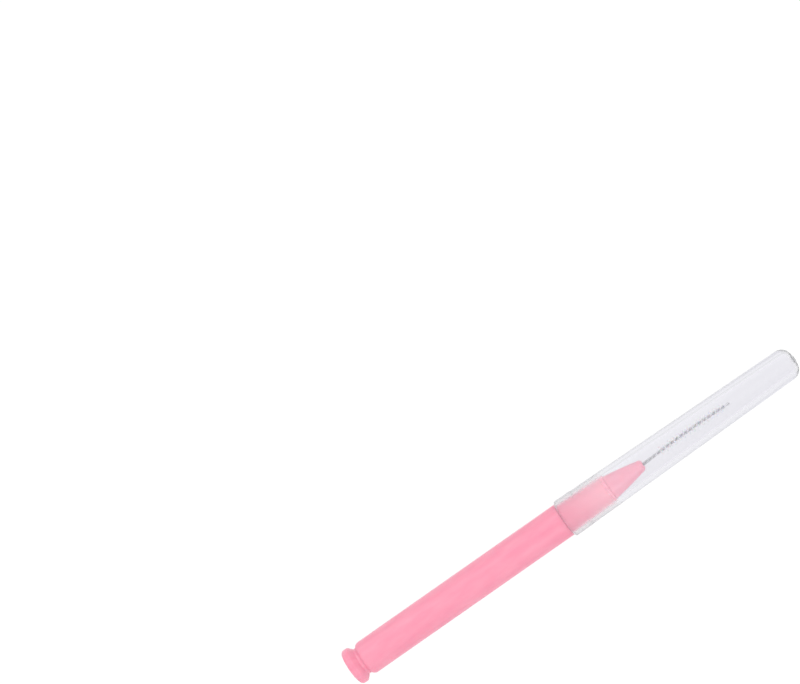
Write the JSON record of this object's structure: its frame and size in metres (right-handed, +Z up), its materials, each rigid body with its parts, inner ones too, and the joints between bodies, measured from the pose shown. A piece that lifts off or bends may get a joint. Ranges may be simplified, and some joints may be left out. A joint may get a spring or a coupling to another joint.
{
  "type": "interdental brush",
  "caption": "Slim round handle with an end flange and a pointed nose that holds a twisted-wire brush, closed by a clear push-on cap.",
  "frame": {"origin": "middle of the footprint of the brush lying on its side: under its axis, halfway along its length, on the surface it rests on", "axes": "+X along the brush's axis, from the handle's rear face to the cap's closed end; +Z up, away from the surface it lies on; +Y to the left seen from the handle's rear end"},
  "size_m": [0.1, 0.0076, 0.0076],
  "materials": {
    "handle_plastic": "smooth pink moulded polypropylene, satin gloss",
    "wire_steel": "drawn stainless wire, bright but fine",
    "bristle_nylon": "translucent white nylon filament",
    "cap_plastic": "clear moulded plastic with a slightly milky tint, glossy"
  },
  "bodies": {
    "brush": {"handle": "handle_plastic", "core_wire": "wire_steel", "bristles": "bristle_nylon"},
    "cover": {"cap": "cap_plastic"}
  },
  "joints": [
    {"name": "cap_pull", "type": "slide", "parent": "brush", "child": "cover", "axis": [1, 0, 0], "range_m": [0, 0.04]}
  ]
}
